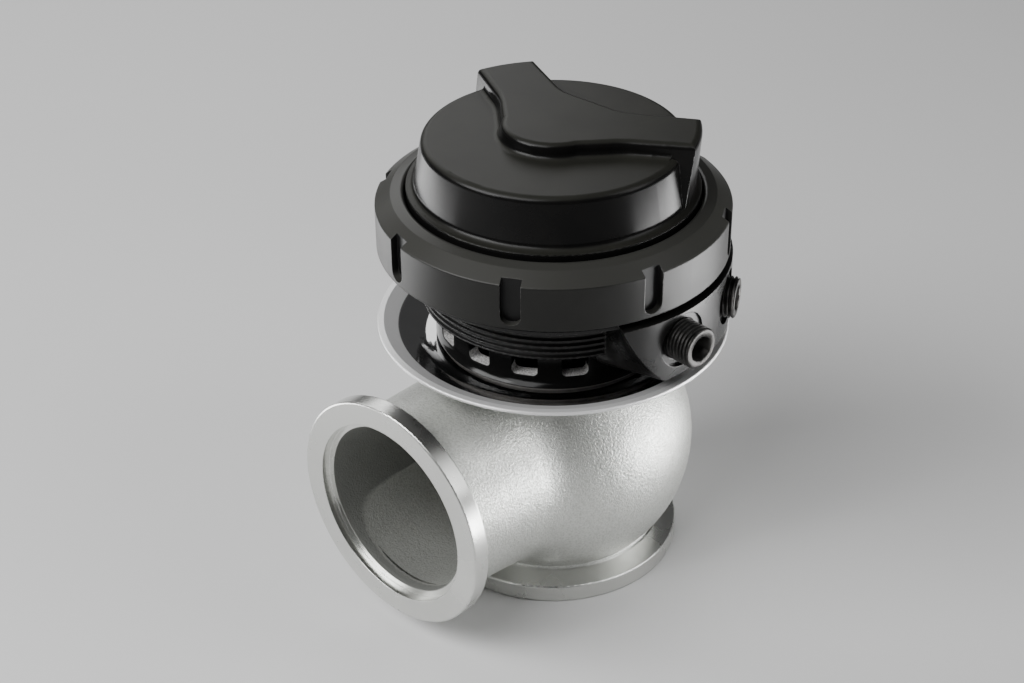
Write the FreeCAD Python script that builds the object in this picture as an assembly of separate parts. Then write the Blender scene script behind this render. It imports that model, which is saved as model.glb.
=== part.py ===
import FreeCAD, Part
import math
import os
from FreeCAD import Vector

# A turbo wastegate in millimetres: +Z runs up the valve axis, the outlet looks along -Y,
# and the origin is the centre of the inlet flange's lower face.

# Clearances
press_gap = 0.02           # pressed bushes and pins
running_gap = 0.05         # stem in its guide and seal
pin_gap = 0.08             # locating pin in the cap
screw_gap = 0.1            # screws and studs in their holes
slide_gap = 0.2            # turned parts that slide into each other
thread_gap = 0.3           # collar bore over the housing thread
lip_gap = 0.3              # collar lip round the cap's foot
seat_gap = 0.1             # closed valve over its seat, square to the cone

# Shared details
cut_over = 1.0             # cutters run this far past the faces they open
edge_break = 0.3           # rounding of small turned edges
wide_break = 0.5           # rounding of larger turned edges

# Valve seat
seat_outer_radius = 22.6
seat_wall = 3.4
seat_height = 5.2
seat_cone_height = 1.6     # 45 degree seat on the inner edge
seat_shelf = 1.4           # casting over the seat's outer edge
throat_height = 1.0        # straight throat above the seat

# Inlet flange and the neck above it
register_width = 1.0       # step from the register to the seat's pocket
register_depth = 2.27
neck_wall = 2.4
inlet_flange_radius = 31.3
inlet_edge = 4.5           # straight edge of the flange
inlet_cone = 1.7           # rise of the clamp cone
flange_edge_round = 0.4
flange_root_round = 1.2    # between the clamp cone and the neck

# Cast chamber
ball_radius = 34.5
ball_height = 29.5
chamber_wall = 4.2
roof_thickness = 7.5
shoulder_radius = 25.5     # round boss under the heat shield
body_rise = 28.5           # machined top above the ball's middle
blend_radius = 4.0         # casting blend between the ball and the shoulder
tube_blend_radius = 14.0   # soft blend between the ball and the outlet tube

# Outlet tube and flange
outlet_offset = 4.65       # outlet axis above the ball's middle
outlet_reach = 55.75
outlet_flange_radius = 28.2
outlet_edge = 4.3
outlet_cone = 1.5
outlet_bore_radius = 21.0
outlet_register_width = 1.6
bore_lip = 1.0             # straight length behind the outlet register
tube_wall = 2.5
tube_lip = 0.4             # clamp cone ends this far outside the tube
tube_offset = 0.55         # end of the cast tube under the outlet axis
tube_taper = 0.0466        # growth of the tube's radius towards the ball
tube_rise = 0.0604         # climb of the tube's axis towards the outlet
tube_root_reach = 15.0
bore_taper = 0.0441
bore_rise = 0.1397

# Valve, guide and scraper
valve_margin = 1.4         # straight edge of the valve head
valve_lip = 0.4            # cone that stands below the seat
valve_rim_width = 2.0      # flat rim round the hollow of the lower face
valve_dish_depth = 0.9
valve_dish_run = 3.0       # slope from the rim to the hollow's floor
valve_back_rise = 1.3      # rise of the head's back towards the stem
tulip_width = 4.0          # the tulip's root stands this far outside the stem
tulip_height = 6.7
tulip_radius = 9.0         # hollow blend from the head into the stem
stem_radius = 4.0
guide_wall = 2.45
guide_length = 15.5
guide_boss_wall = 3.0
guide_boss_length = 8.5
scraper_radius = 9.0
scraper_height = 3.5

# Heat shield dish
dish_rim_radius = 41.9
dish_rim_rise = 5.3        # rim above the body's top
dish_rim_width = 1.5
dish_rim_edge = 1.0
dish_rim_fall = 0.4        # the sheet leaves the rim this far outside its inner edge
dish_sheet = 1.2
dish_foot_radius = 31.0
dish_bend = 7.0
dish_hole_radius = 7.5

# Gasket and actuator cage
gasket_thickness = 0.8
gasket_inner_radius = 12.5
gasket_setback = 1.0       # gasket edge inside the cage's edge
base_thickness = 3.0
base_hole_radius = 6.0
cage_radius = 28.0
cage_wall = 3.5
window_sill = 3.5          # sill above the cage's lower face
window_width = 6.1
window_height = 6.0
window_round = 1.2
window_pitch = 24.0        # degrees
window_angle = -36.8
cage_height = 10.0         # lower face to the underside of the chamber floor
floor_thickness = 3.0
hub_radius = 9.5
hub_drop = 3.5
post_radius = 4.2
post_inset = 4.0           # middle of a post inside the cage's wall
post_count = 4

# Air chamber, barrel with its cooling grooves, and threaded cup
chamber_radius = 28.2
chamber_height = 10.2
chamber_round = 1.0
roll_room = 2.0            # mouth of the chamber outside its wall, for the diaphragm's roll
roll_height = 2.4
roll_slope = 1.6           # height of the slope between chamber and mouth
barrel_wall = 2.8
barrel_height = 7.8
groove_pitch = 1.5
groove_depth = 0.9
groove_round = 0.25
groove_land = 0.5          # metal left between two grooves
first_groove = 1.1         # lowest groove above the barrel's lower edge
bead_seat = 4.2            # width of the diaphragm's seat
cup_wall = 2.8
cup_height = 6.8           # diaphragm seat to the rim
rim_round = 0.5
shelf_width = 1.2          # shelf under the collar stands outside the cup
shelf_edge = 1.2
shelf_drop = 0.8           # shelf below the diaphragm's seat
flare_round = 0.8          # between the barrel and the flare up to the shelf

# Port boss with its two threaded ports
boss_radius = 41.9
boss_height = 16.1
boss_middle = 11.7         # direction of the boss, degrees from +X
boss_top_half = 25.6
boss_low_half = 16.5
boss_root_half = 18.5      # half width where the boss leaves the barrel
boss_round = 2.5
port_drop = 7.3            # port axes below the boss's top
port_spread = 30.0         # degrees between the ports
plug_radius = 4.9
plug_gap = 0.1
port_rim_width = 1.6       # counterbore outside the thread
port_rim_depth = 1.1
port_drill_radius = 2.0
port_drill_overrun = 3.0   # drill starts this far inside the chamber wall
plug_length = 10.7
plug_end_round = 0.7
plug_socket = 5.5
plug_socket_depth = 5.5
front_plug_stand = 5.3     # end of the front plug outside the boss
side_plug_stand = 2.3

# Stem seal
seal_radius = 7.5
seal_height = 2.6
seal_groove = 1.4          # width and depth of the V groove
retainer_height = 0.8
retainer_clearance = 0.6   # retainer's hole round the stem

# Housing screws
screw_radius = 2.5
screw_bite = 6.0           # thread length in the casting
screw_spare = 0.5          # depth of the hole past the screw's end
screw_head_radius = 4.25
screw_head_height = 5.0
screw_socket = 4.0
washer_radius = 4.6
washer_thickness = 1.0

# Diaphragm and its plates
bead_thickness = 1.7
bead_width = 3.0
bead_lip = 0.5             # clamped bead stands this far over the rolling wall
web_thickness = 1.0
web_drop = 1.8             # lower face of the web under the bead's upper face
wall_gap = 0.6             # rolling wall beside the plates and the chamber
roll_depth = 2.7
roll_fullness = 0.48       # radius at the bottom of the roll, as a share of its width
plate_gap = 3.2            # plates inside the chamber's wall
lower_plate_thickness = 2.5
plate_hub_radius = 9.0     # thick middle of the lower plate
plate_hub_slope = 3.0
plate_relief = 0.8         # the plate is thinner than its hub by this much
upper_plate_floor = 2.0
upper_plate_height = 9.9
upper_plate_wall = 1.2
thread_radius = 3.0        # threaded end of the stem
nut_width = 10.0
nut_height = 5.0
nut_crown = 1.25           # plain locking crown on top of the hexagon
plate_washer_radius = 8.0
plate_washer_thickness = 1.2
stem_end = 1.2             # thread left above the nut

# Springs, from the plate's wall inwards
outer_wire = 1.3           # wire radii
middle_wire = 1.1
inner_wire = 1.0
outer_turns = 3.5
middle_turns = 4.0
inner_turns = 4.5
spring_play = 1.0          # outer spring inside the upper plate's wall
spring_gap = 1.5           # middle spring inside the outer one
guide_ring_width = 1.3     # ring on the plate's floor between the inner springs
guide_ring_height = 1.6
guide_ring_play = 0.3      # middle spring round the ring
inner_play = 0.7           # inner spring inside the ring
spring_cut = 0.35          # share of the wire ground off at each end
spring_seat_play = 1.7     # spring seat outside the outer spring
spring_seat_hole = 10.5
spring_seat_thickness = 1.5

# Cap
cap_flange_setback = 0.3   # flange inside the cup's outside
cap_flange_height = 4.2
cap_flange_gap = 0.3       # flange above the cup's rim
cap_shoulder_width = 2.9
cap_ledge_rise = 1.0       # foot ledge above the collar's lip
cap_foot_width = 1.8
cap_foot_round = 1.6       # hollow blend between the foot ledge and the wall
cap_taper = 2.1
cap_crown_rise = 11.6
cap_crown_round = 1.7
cap_wall = 2.8
cap_cavity_bend = 15.1     # straight part of the cavity
cap_cavity_round = 2.0
cap_ceiling = 3.8
wing_height = 3.5
wing_setback = 0.4         # ends of the wing inside the cap's foot
wing_direction = 93.25
wing_nose_radius = 11.8
wing_back = 13.9
wing_back_corner = 8.6
wing_arm_lean = 28.1       # lean of the arms' back edge, degrees
wing_arm_round = 12.0      # corners of the arms' back edge
wing_neck_depth = 2.3      # corner between an arm's front edge and the nose
wing_neck_side = 18.1
wing_neck_round = 20.0
wing_front_lean = 31.1
wing_nose_reach = 5.5      # the arms meet the nose this far before its middle
wing_draft = 0.19          # its walls stand out this much per millimetre of depth
wing_end_lean = 0.07       # its ends stand in this much per millimetre of depth
wing_foot_round = 1.5      # hollow blend round the wing's foot
wing_edge_round = 1.5
o_ring_radius = 0.95
o_ring_groove = 2.0        # depth of the groove in the spigot
o_ring_side_gap = 0.25
o_ring_rise = 2.7          # middle of the groove above the spigot's end
locating_pin_radius = 0.75
locating_pin_angle = 200.0
locating_pin_length = 6.5
locating_pin_stand = 2.7   # part that stands in the cap

# Slip ring and locking collar
slip_ring_thickness = 0.5
collar_wall = 3.75
collar_float = 1.6         # collar above the shelf
collar_shoulder_drop = 0.3 # outer edge of the slope below the lip's underside
collar_slope_run = 3.7
collar_slope_rise = 2.3
collar_lip_thickness = 3.1
collar_lip_round = 1.0
slot_count = 8
slot_angle = 29.6
slot_width = 4.6
slot_end_round = 2.25
slot_depth = 1.7
slot_floor = 1.0           # metal left under a slot

# Radii that follow from the sizes above
seat_bore_radius = seat_outer_radius - seat_wall
throat_radius = seat_outer_radius - seat_shelf
inlet_register_radius = seat_outer_radius + register_width
neck_radius = inlet_register_radius + neck_wall
outlet_register_radius = outlet_bore_radius + outlet_register_width
tube_end_radius = outlet_bore_radius + tube_wall
guide_radius = stem_radius + running_gap + guide_wall
guide_boss_radius = guide_radius + guide_boss_wall
barrel_radius = chamber_radius + barrel_wall
roll_radius = chamber_radius + roll_room
cup_bore_radius = roll_radius + bead_seat
cup_radius = cup_bore_radius + cup_wall
spigot_radius = cup_bore_radius - slide_gap
plate_radius = chamber_radius - plate_gap
port_hole_radius = plug_radius + plug_gap
outer_spring_radius = plate_radius - upper_plate_wall - spring_play - outer_wire
middle_spring_radius = outer_spring_radius - outer_wire - spring_gap - middle_wire
guide_ring_outer = middle_spring_radius - middle_wire - guide_ring_play
guide_ring_inner = guide_ring_outer - guide_ring_width
inner_spring_radius = guide_ring_inner - inner_play - inner_wire
spring_seat_radius = outer_spring_radius + outer_wire + spring_seat_play
cap_flange_radius = cup_radius - cap_flange_setback
cap_base_radius = cap_flange_radius - cap_shoulder_width
cap_wall_radius = cap_base_radius - cap_foot_width
cap_crown_radius = cap_wall_radius - cap_taper
wing_end_radius = cap_base_radius - wing_setback
collar_bore_radius = cup_radius + thread_gap
collar_radius = collar_bore_radius + collar_wall
collar_lip_radius = cap_base_radius + lip_gap
post_circle_radius = cage_radius - cage_wall - post_inset
pin_circle_radius = (cup_bore_radius + cup_radius) / 2

# Levels that follow from the sizes above
seat_bottom = register_depth
seat_top = seat_bottom + seat_height
body_height = ball_height + body_rise
outlet_height = ball_height + outlet_offset
outlet_back = outlet_reach - outlet_edge
tube_end_height = outlet_height - tube_offset
guide_top = body_height - scraper_height
dish_floor = body_height + dish_sheet
dish_rim_height = body_height + dish_rim_rise
base_level = dish_floor + gasket_thickness
floor_under = base_level + cage_height
floor_top = floor_under + floor_thickness
seal_level = floor_top - seal_height - retainer_height
bead_level = floor_top + chamber_height
boss_top = bead_level - shelf_drop
port_height = boss_top - port_drop
cup_top = bead_level + cup_height
spigot_level = bead_level + bead_thickness
web_level = spigot_level - web_drop
plate_seat = web_level - lower_plate_thickness
spring_bottom = web_level + web_thickness + upper_plate_floor
nut_level = spring_bottom + plate_washer_thickness
cap_flange_level = cup_top + cap_flange_gap
cap_shoulder = cap_flange_level + cap_flange_height
slip_top = cap_shoulder + slip_ring_thickness
collar_bottom = boss_top + collar_float
collar_lip_height = slip_top + collar_lip_thickness
cap_base_height = collar_lip_height + cap_ledge_rise
cap_crown_height = cap_base_height + cap_crown_rise
ceiling_level = cap_crown_height - cap_ceiling
spring_top = ceiling_level - spring_seat_thickness
valve_cone_shift = seat_gap * math.sqrt(2)
post_angles = [45 + 360 / post_count * i for i in range(post_count)]


def upright(a, b):
    """Place a profile point (radius, height) in the XZ plane."""
    return Vector(a, 0, b)


def level(height):
    """Placer for plan outlines drawn at one height."""
    return lambda a, b: Vector(a, b, height)


def facing_x(distance):
    """Placer for outlines (across, height) that look along +X from this distance."""
    return lambda a, b: Vector(distance, a, b)


def outline(corners, place):
    """Closed wire through corners (a, b, rounding radius)."""
    enters, leaves, middles = [], [], []
    for i, (a, b, radius) in enumerate(corners):
        corner = Vector(a, b, 0)
        before = Vector(corners[i - 1][0], corners[i - 1][1], 0)
        after = Vector(corners[(i + 1) % len(corners)][0], corners[(i + 1) % len(corners)][1], 0)
        back = (before - corner).normalize()
        ahead = (after - corner).normalize()
        if radius == 0:
            enters.append(corner)
            leaves.append(corner)
            middles.append(None)
            continue
        half = back.getAngle(ahead) / 2
        reach = radius / math.tan(half)
        inward = (back + ahead).normalize()
        enters.append(corner + back * reach)
        leaves.append(corner + ahead * reach)
        middles.append(corner + inward * (radius / math.sin(half) - radius))
    edges = []
    for i in range(len(corners)):
        start, end, middle = enters[i], leaves[i], middles[i]
        if middle is not None:
            arc = Part.Arc(place(start.x, start.y), place(middle.x, middle.y), place(end.x, end.y))
            edges.append(arc.toShape())
        following = enters[(i + 1) % len(corners)]
        if (following - end).Length > 1e-6:
            edges.append(Part.LineSegment(place(end.x, end.y), place(following.x, following.y)).toShape())
    return Part.Wire(edges)


def turned(corners):
    """Solid of revolution about Z from a closed profile of (radius, height, rounding)."""
    return Part.Face(outline(corners, upright)).revolve(Vector(0, 0, 0), Vector(0, 0, 1), 360)


def ring(inner, outer, bottom, top):
    """Plain ring between two radii and two heights."""
    return turned([(inner, bottom, 0), (outer, bottom, 0), (outer, top, 0), (inner, top, 0)])


def rod(radius, start, direction, length):
    """Cylinder from a point along a direction."""
    return Part.makeCylinder(radius, length, start, direction)


def upright_rod(radius, bottom, top, x=0.0, y=0.0):
    """Cylinder parallel to Z between two heights."""
    return rod(radius, Vector(x, y, bottom), Vector(0, 0, 1), top - bottom)


def polar(distance, angle, height=0.0):
    """Point at a distance and direction (degrees from +X) round the valve axis."""
    turn = math.radians(angle)
    return Vector(distance * math.cos(turn), distance * math.sin(turn), height)


def around(shape, angle):
    """Copy of a shape turned round the valve axis."""
    copy = shape.copy()
    copy.rotate(Vector(0, 0, 0), Vector(0, 0, 1), angle)
    return copy


def hexagon(width, bottom, height):
    """Hexagonal prism along Z, width across its flats."""
    corners = [polar(width / math.sqrt(3), 60 * i, bottom) for i in range(6)]
    return Part.Face(Part.makePolygon(corners + corners[:1])).extrude(Vector(0, 0, height))


def one_solid(shape):
    """The single solid inside a fused or cut result."""
    return shape.removeSplitter().Solids[0]


def disc_across(radius, distance, height):
    """Circular wire that looks along Y at a distance towards the outlet."""
    circle = Part.Circle(Vector(0, -distance, height), Vector(0, 1, 0), radius)
    return Part.Wire(circle.toShape())


def tapered_tube(end_radius, end_reach, end_height, taper, rise):
    """Round solid from the outlet's end to the middle of the ball, widening and falling on the way."""
    length = end_reach - tube_root_reach
    root = disc_across(end_radius + taper * length, tube_root_reach, end_height - rise * length)
    return Part.makeLoft([disc_across(end_radius, end_reach, end_height), root], True)


def outlet_turned(corners):
    """Solid of revolution about the outlet axis from (radius, distance from the valve axis)."""
    face = Part.Face(outline(corners, lambda a, b: Vector(a, -b, outlet_height)))
    return face.revolve(Vector(0, 0, outlet_height), Vector(0, 1, 0), 360)


def casting_outside():
    """Flanges, ball and tube of the valve body before it is hollowed."""
    cone_top = inlet_edge + inlet_cone
    flange = turned([
        (0, 0, 0), (inlet_flange_radius, 0, flange_edge_round),
        (inlet_flange_radius, inlet_edge, flange_edge_round), (neck_radius, cone_top, flange_root_round),
        (neck_radius, ball_height, 0), (0, ball_height, 0)])
    ball = Part.makeSphere(ball_radius, Vector(0, 0, ball_height))
    ball = ball.common(upright_rod(2 * ball_radius, cone_top, body_height))
    shoulder = upright_rod(shoulder_radius, ball_height, body_height)
    tube = tapered_tube(tube_end_radius, outlet_back, tube_end_height, tube_taper, tube_rise)
    crown = one_solid(ball.fuse(shoulder))
    crown = crown.makeFillet(blend_radius, [edge for edge in crown.Edges if on_shoulder_seam(edge)])
    branch = one_solid(ball.fuse(tube))
    branch = branch.makeFillet(tube_blend_radius, [edge for edge in branch.Edges if on_tube_seam(edge)])
    body = one_solid(branch.fuse(crown))
    outlet_flange = outlet_turned([
        (0, outlet_reach, 0), (outlet_flange_radius, outlet_reach, flange_edge_round),
        (outlet_flange_radius, outlet_back, flange_edge_round),
        (tube_end_radius + tube_lip, outlet_back - outlet_cone, flange_root_round / 2),
        (tube_end_radius - tube_lip, outlet_back - outlet_cone, 0), (0, outlet_back - outlet_cone, 0)])
    return one_solid(body.fuse([flange, outlet_flange]))


def on_shoulder_seam(edge):
    """True for the edge where the shoulder leaves the ball."""
    box = edge.BoundBox
    return box.ZLength < 0.1 and ball_height < box.ZMin < body_height - blend_radius


def on_tube_seam(edge):
    """True for an edge where the outlet tube leaves the ball."""
    box = edge.BoundBox
    return box.YMax < -tube_root_reach and box.YMin > -ball_radius and box.ZLength > 2 * blend_radius


def valve_body():
    """Cast and machined housing with its chamber, ports, registers and screw holes."""
    body = casting_outside()
    roof_under = body_height - roof_thickness
    chamber_radius_inside = ball_radius - chamber_wall
    throat_top = seat_top + throat_height
    chamber = Part.makeSphere(chamber_radius_inside, Vector(0, 0, ball_height))
    chamber = chamber.common(upright_rod(ball_radius, throat_top, roof_under))
    bore_end = outlet_reach - register_depth - bore_lip
    bore = tapered_tube(outlet_bore_radius, bore_end, outlet_height, -bore_taper, bore_rise)
    mouth = outlet_turned([
        (0, outlet_reach + cut_over, 0), (outlet_register_radius, outlet_reach + cut_over, 0),
        (outlet_register_radius, outlet_reach - register_depth, 0),
        (outlet_bore_radius, outlet_reach - register_depth, 0),
        (outlet_bore_radius, bore_end, 0), (0, bore_end, 0)])
    boss = upright_rod(guide_boss_radius, roof_under - guide_boss_length, roof_under + cut_over)
    hollow = one_solid(body.cut([chamber, bore, mouth]))
    hollow = one_solid(hollow.fuse(boss))
    pocket = turned([
        (0, -cut_over, 0), (inlet_register_radius, -cut_over, 0),
        (inlet_register_radius, register_depth, 0), (seat_outer_radius, register_depth, 0),
        (seat_outer_radius, seat_top, 0), (throat_radius, seat_top, 0),
        (throat_radius, throat_top + cut_over, 0), (0, throat_top + cut_over, 0)])
    cuts = [pocket, upright_rod(guide_radius, 0, body_height + cut_over)]
    cuts.append(upright_rod(scraper_radius, guide_top, body_height + cut_over))
    cuts += screw_passages(body_height - screw_bite - screw_spare, body_height + cut_over)
    return one_solid(hollow.cut(cuts))


def valve_seat():
    """Hard ring pressed into the inlet, with a 45 degree seat on its upper inner edge."""
    outer = seat_outer_radius - press_gap
    return turned([
        (seat_bore_radius, seat_bottom, wide_break), (outer, seat_bottom, 0), (outer, seat_top, 0),
        (seat_bore_radius + seat_cone_height, seat_top, 0), (seat_bore_radius, seat_top - seat_cone_height, 0)])


def valve():
    """Poppet with its 45 degree face, tulip back, long stem and threaded end."""
    face_radius = seat_bore_radius + seat_cone_height - valve_cone_shift
    face_low = seat_top - seat_cone_height - valve_lip
    low_radius = face_radius - seat_cone_height - valve_lip
    rim_radius = low_radius - valve_rim_width
    dish_top = face_low + valve_dish_depth
    back = seat_top + valve_margin
    tulip_root = back + valve_back_rise
    stem_top = nut_level + nut_height + stem_end
    return turned([
        (0, dish_top, 0), (rim_radius - valve_dish_run, dish_top, 2 * valve_dish_depth),
        (rim_radius, face_low, valve_dish_depth), (low_radius, face_low, 0),
        (face_radius, seat_top, 0), (face_radius, back, edge_break),
        (stem_radius + tulip_width, tulip_root, tulip_radius / 2),
        (stem_radius, tulip_root + tulip_height, tulip_radius),
        (stem_radius, plate_seat, edge_break), (thread_radius, plate_seat, 0),
        (thread_radius, stem_top, edge_break), (0, stem_top, 0)])


def valve_guide():
    """Bronze bush that carries the stem in the casting's roof."""
    inner = stem_radius + running_gap
    outer = guide_radius - press_gap
    bottom = guide_top - guide_length
    return turned([(inner, bottom, edge_break), (outer, bottom, wide_break),
                   (outer, guide_top, 0), (inner, guide_top, 0)])


def stem_scraper():
    """Graphite ring over the guide that keeps soot out of the actuator."""
    top = body_height - slide_gap
    return ring(stem_radius + running_gap, scraper_radius - slide_gap, guide_top, top)


def heat_shield():
    """Polished dish: flat foot, curved wall and thin flat rim."""
    rim_inner = dish_rim_radius - dish_rim_width
    rim_under = dish_rim_height - dish_rim_edge
    dish = turned([
        (dish_hole_radius, body_height, 0), (dish_foot_radius, body_height, dish_bend + dish_sheet),
        (rim_inner + dish_rim_fall, rim_under, wide_break), (dish_rim_radius, rim_under, edge_break),
        (dish_rim_radius, dish_rim_height, edge_break), (rim_inner, dish_rim_height, edge_break),
        (dish_foot_radius, dish_floor, dish_bend), (dish_hole_radius, dish_floor, 0)])
    return one_solid(dish.cut(screw_passages(body_height - cut_over, dish_floor + cut_over)))


def screw_passages(bottom, top):
    """Clearance holes for the housing screws between two heights."""
    spots = [polar(post_circle_radius, angle) for angle in post_angles]
    return [upright_rod(screw_radius + screw_gap, bottom, top, spot.x, spot.y) for spot in spots]


def base_gasket():
    """Insulating gasket between the dish and the actuator."""
    sheet = ring(gasket_inner_radius, cage_radius - gasket_setback, dish_floor, base_level)
    return one_solid(sheet.cut(screw_passages(dish_floor - cut_over, base_level + cut_over)))


def grooves():
    """V grooves of the barrel's cooling rings."""
    count = int(barrel_height / groove_pitch)
    half = (groove_pitch - groove_land) / 2
    cuts = []
    for i in range(count):
        middle = floor_under + first_groove + groove_pitch * i
        cuts.append(turned([
            (barrel_radius + cut_over, middle - half, 0), (barrel_radius, middle - half, 0),
            (barrel_radius - groove_depth, middle, groove_round), (barrel_radius, middle + half, 0),
            (barrel_radius + cut_over, middle + half, 0)]))
    return cuts


def window_cutters():
    """Rounded windows of the cage, left out where the port boss covers it."""
    half = window_width / 2
    sill = base_level + window_sill
    head = sill + window_height
    cutter = Part.Face(outline([
        (-half, sill, window_round), (half, sill, window_round),
        (half, head, window_round), (-half, head, window_round)],
        facing_x(cage_radius - cage_wall - cut_over))).extrude(Vector(cage_wall + 2 * cut_over, 0, 0))
    covered = math.degrees(math.asin(boss_top_half / boss_radius))
    cutters = []
    for i in range(round(360 / window_pitch)):
        angle = window_angle - window_pitch * i
        from_boss = abs((angle - boss_middle + 180) % 360 - 180)
        if from_boss > covered:
            cutters.append(around(cutter, angle))
    return cutters


def boss_outline(top_half, low_half, distance):
    """Boss seen from outside, on a plane at a distance from the valve axis."""
    low = boss_top - boss_height
    return outline([(-top_half, boss_top, 0), (-low_half, low, boss_round),
                    (low_half, low, boss_round), (top_half, boss_top, 0)], facing_x(distance))


def port_boss():
    """Boss that carries both ports: upright sides at the barrel open out to a trapezoid face."""
    low = boss_top - boss_height
    root = boss_root_half
    root_distance = math.sqrt(barrel_radius ** 2 - root ** 2)
    depth = boss_radius - root_distance
    widths = []
    for half in (boss_top_half, boss_low_half):
        edge_depth = math.sqrt(boss_radius ** 2 - half ** 2) - root_distance
        widths.append(root + (half - root) * depth / edge_depth)
    root_outline = boss_outline(root, root, root_distance)
    outer = Part.makeLoft([root_outline, boss_outline(widths[0], widths[1], boss_radius)], True, True)
    inner = Part.Face(root_outline).extrude(Vector(cage_radius / 2 - root_distance, 0, 0))
    boss = around(one_solid(outer.fuse(inner)), boss_middle)
    return one_solid(boss.common(upright_rod(boss_radius, low, boss_top)))


def port_places():
    """Direction and plug reach of the two ports."""
    return [(boss_middle - port_spread / 2, boss_radius + front_plug_stand),
            (boss_middle + port_spread / 2, boss_radius + side_plug_stand)]


def port_cutters():
    """Rim, thread hole and air passage of each port."""
    cutters = []
    for angle, reach in port_places():
        outward = polar(1, angle)
        hole_end = reach - plug_length - slide_gap
        cutters.append(rod(port_hole_radius, polar(hole_end, angle, port_height), outward,
                           boss_radius))
        rim_start = polar(boss_radius - port_rim_depth, angle, port_height)
        cutters.append(rod(port_hole_radius + port_rim_width, rim_start, outward, boss_radius))
        drill_start = chamber_radius - port_drill_overrun
        cutters.append(rod(port_drill_radius, polar(drill_start, angle, port_height), outward,
                           hole_end - drill_start + cut_over))
    return cutters


def actuator_housing():
    """Windowed cage, grooved barrel, port boss and threaded cup, machined from one bar."""
    flare_bottom = floor_under + barrel_height
    outside = turned([
        (0, base_level, 0), (cage_radius, base_level, wide_break), (cage_radius, floor_under, 0),
        (barrel_radius, floor_under, edge_break), (barrel_radius, flare_bottom, flare_round),
        (cup_radius + shelf_width, boss_top - shelf_edge, wide_break),
        (cup_radius + shelf_width, boss_top, edge_break), (cup_radius, boss_top, 0),
        (cup_radius, cup_top, rim_round), (0, cup_top, 0)])
    outside = one_solid(outside.cut(grooves()))
    shell = one_solid(outside.fuse(port_boss()))
    vent = ring(0.0, cage_radius - cage_wall, base_level + base_thickness, floor_under)
    chamber = turned([
        (0, floor_top, 0), (chamber_radius, floor_top, chamber_round),
        (chamber_radius, bead_level - roll_height - roll_slope, 0),
        (roll_radius, bead_level - roll_height, wide_break), (roll_radius, bead_level, 0),
        (cup_bore_radius, bead_level, 0), (cup_bore_radius, cup_top + cut_over, 0),
        (0, cup_top + cut_over, 0)])
    shell = one_solid(shell.cut([vent, chamber]))
    inside = [upright_rod(hub_radius, floor_under - hub_drop, floor_under + cut_over)]
    for angle in post_angles:
        spot = polar(post_circle_radius, angle)
        inside.append(upright_rod(post_radius, base_level + cut_over, floor_under + cut_over,
                                  spot.x, spot.y))
    shell = one_solid(shell.fuse(inside))
    pin_spot = polar(pin_circle_radius, locating_pin_angle)
    pin_bottom = cup_top - (locating_pin_length - locating_pin_stand - cap_flange_gap)
    cuts = window_cutters() + port_cutters()
    cuts += screw_passages(base_level - cut_over, floor_top + cut_over)
    cuts.append(upright_rod(base_hole_radius, base_level - cut_over,
                            base_level + base_thickness + cut_over))
    cuts.append(upright_rod(stem_radius + slide_gap, floor_under - hub_drop - cut_over,
                            floor_top + cut_over))
    cuts.append(upright_rod(seal_radius, seal_level, floor_top + cut_over))
    cuts.append(upright_rod(locating_pin_radius + press_gap, pin_bottom, cup_top + cut_over,
                            pin_spot.x, pin_spot.y))
    return one_solid(shell.cut(cuts))


def stem_seal():
    """Lip seal in the chamber floor, with its V groove towards the air chamber."""
    inner = stem_radius + running_gap
    outer = seal_radius - press_gap
    top = seal_level + seal_height
    middle = (inner + outer) / 2
    half = seal_groove / 2
    return turned([
        (inner, seal_level, edge_break), (outer, seal_level, 0), (outer, top, 0),
        (middle + half, top, 0), (middle, top - seal_groove, 0), (middle - half, top, 0),
        (inner, top, 0)])


def seal_retainer():
    """Pressed washer over the stem seal."""
    return ring(stem_radius + retainer_clearance, seal_radius - press_gap,
                floor_top - retainer_height, floor_top)


def housing_screws():
    """Four socket screws through the posts into the casting."""
    under_head = floor_top + washer_thickness
    head_top = under_head + screw_head_height
    shank = turned([
        (0, body_height - screw_bite, 0), (screw_radius, body_height - screw_bite, wide_break),
        (screw_radius, under_head, 0), (screw_head_radius, under_head, 0),
        (screw_head_radius, head_top, edge_break), (0, head_top, 0)])
    socket = hexagon(screw_socket, head_top - screw_head_height / 2, screw_head_height)
    screw = shank.cut(socket)
    return moved_copies(screw)


def moved_copies(shape):
    """Compound with a copy of a shape on each post."""
    copies = []
    for angle in post_angles:
        copy = shape.copy()
        copy.translate(polar(post_circle_radius, angle))
        copies.append(copy)
    return Part.makeCompound(copies)


def screw_washers():
    """Sealing washers under the screw heads."""
    return moved_copies(ring(screw_radius + screw_gap, washer_radius, floor_top,
                             floor_top + washer_thickness))


def port_plug(angle, reach):
    """Threaded plug with a hexagon socket, lying along its port."""
    plug = turned([
        (0, -plug_length, 0), (plug_radius, -plug_length, plug_end_round),
        (plug_radius, 0, plug_end_round), (0, 0, 0)])
    socket = hexagon(plug_socket, -plug_socket_depth, plug_socket_depth + cut_over)
    corner_radius = plug_socket / math.sqrt(3)
    mouth = Part.makeCone(corner_radius - wide_break, corner_radius + edge_break,
                          wide_break + edge_break, Vector(0, 0, -wide_break))
    plug = one_solid(plug.cut([socket, mouth]))
    plug.rotate(Vector(0, 0, 0), Vector(0, 1, 0), 90)
    plug.translate(Vector(reach, 0, port_height))
    return around(plug, angle)


def locating_pin():
    """Pin in the cup's rim that keeps the cap from turning."""
    top = cap_flange_level + locating_pin_stand
    bottom = top - locating_pin_length
    spot = polar(pin_circle_radius, locating_pin_angle)
    pin = turned([(0, bottom, 0), (locating_pin_radius, bottom, edge_break),
                  (locating_pin_radius, top, edge_break), (0, top, 0)])
    pin.translate(spot)
    return pin


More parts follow.
